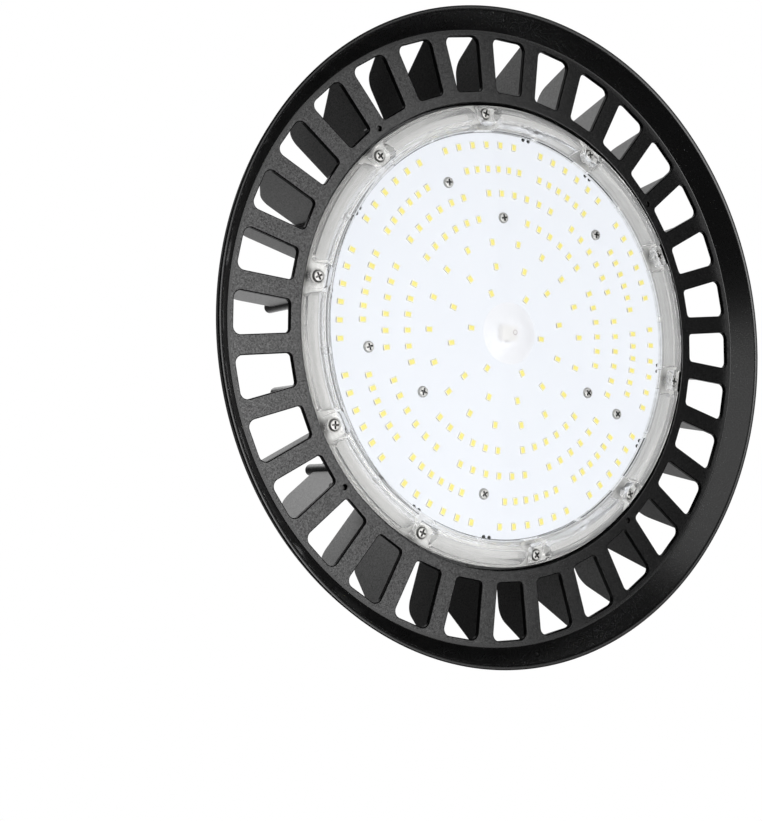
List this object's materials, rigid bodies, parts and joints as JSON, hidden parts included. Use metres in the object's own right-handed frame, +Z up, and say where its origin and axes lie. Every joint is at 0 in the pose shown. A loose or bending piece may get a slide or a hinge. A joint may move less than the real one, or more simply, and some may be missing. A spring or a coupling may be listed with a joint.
{
  "type": "high bay light",
  "caption": "Round high bay light: finned cast heatsink with a slotted flange and flared rim, clear cover over rings of light chips, driver housing with an eye bolt and cable gland.",
  "frame": {"origin": "centre of the rim's lower face, on the lamp's axis", "axes": "+Z up along the lamp's axis, away from the light side; +X towards the cable gland"},
  "size_m": [0.3168, 0.3168, 0.139],
  "materials": {
    "powder_coat": "fine textured powder coat on die-cast aluminium",
    "board_white": "white solder mask",
    "pad_grey": "graphite sheet",
    "phosphor": "silicone filled with yellow phosphor",
    "clear_plastic": "clear moulded polycarbonate",
    "seal_rubber": "moulded rubber",
    "seal_silicone": "moulded white silicone",
    "plated_screw": "bright plating",
    "forged_steel": "zinc-plated forging",
    "black_nylon": "moulded, satin",
    "board_green": "green solder mask",
    "pillar_brass": "turned",
    "ferrite": "ground ferrite",
    "copper_wire": "enamelled wire",
    "capacitor_sleeve": "shrunk sleeve",
    "terminal_green": "moulded",
    "lead_red": "wire insulation",
    "lead_black": "wire insulation",
    "connector_white": "moulded"
  },
  "bodies": {
    "root": {"heatsink": "powder_coat", "light_board": "board_white", "thermal_pad": "pad_grey", "light_chips_ring_1": "phosphor", "light_chips_ring_2": "phosphor", "light_chips_ring_3": "phosphor", "light_chips_ring_4": "phosphor", "light_chips_ring_5": "phosphor", "light_chips_ring_6": "phosphor", "light_chips_ring_7": "phosphor", "clear_cover": "clear_plastic", "cover_gasket": "seal_silicone", "housing_gasket": "seal_rubber", "cover_screws": "plated_screw", "board_screws": "plated_screw", "housing_screws": "plated_screw", "driver_screws": "plated_screw", "driver_housing": "powder_coat", "eye_bolt": "forged_steel", "eye_bolt_washer": "seal_rubber", "eye_bolt_nut": "plated_screw", "gland_body": "black_nylon", "gland_washer": "seal_rubber", "gland_locknut": "black_nylon", "gland_seal": "seal_rubber", "gland_nut": "black_nylon", "driver_board": "board_green", "driver_pillars": "pillar_brass", "transformer_core": "ferrite", "transformer_winding": "copper_wire", "smoothing_capacitors": "capacitor_sleeve", "input_choke": "copper_wire", "terminal_block": "terminal_green", "lead_positive": "lead_red", "lead_negative": "lead_black", "lead_grommet": "seal_rubber", "board_connector": "connector_white"}
  },
  "joints": []
}
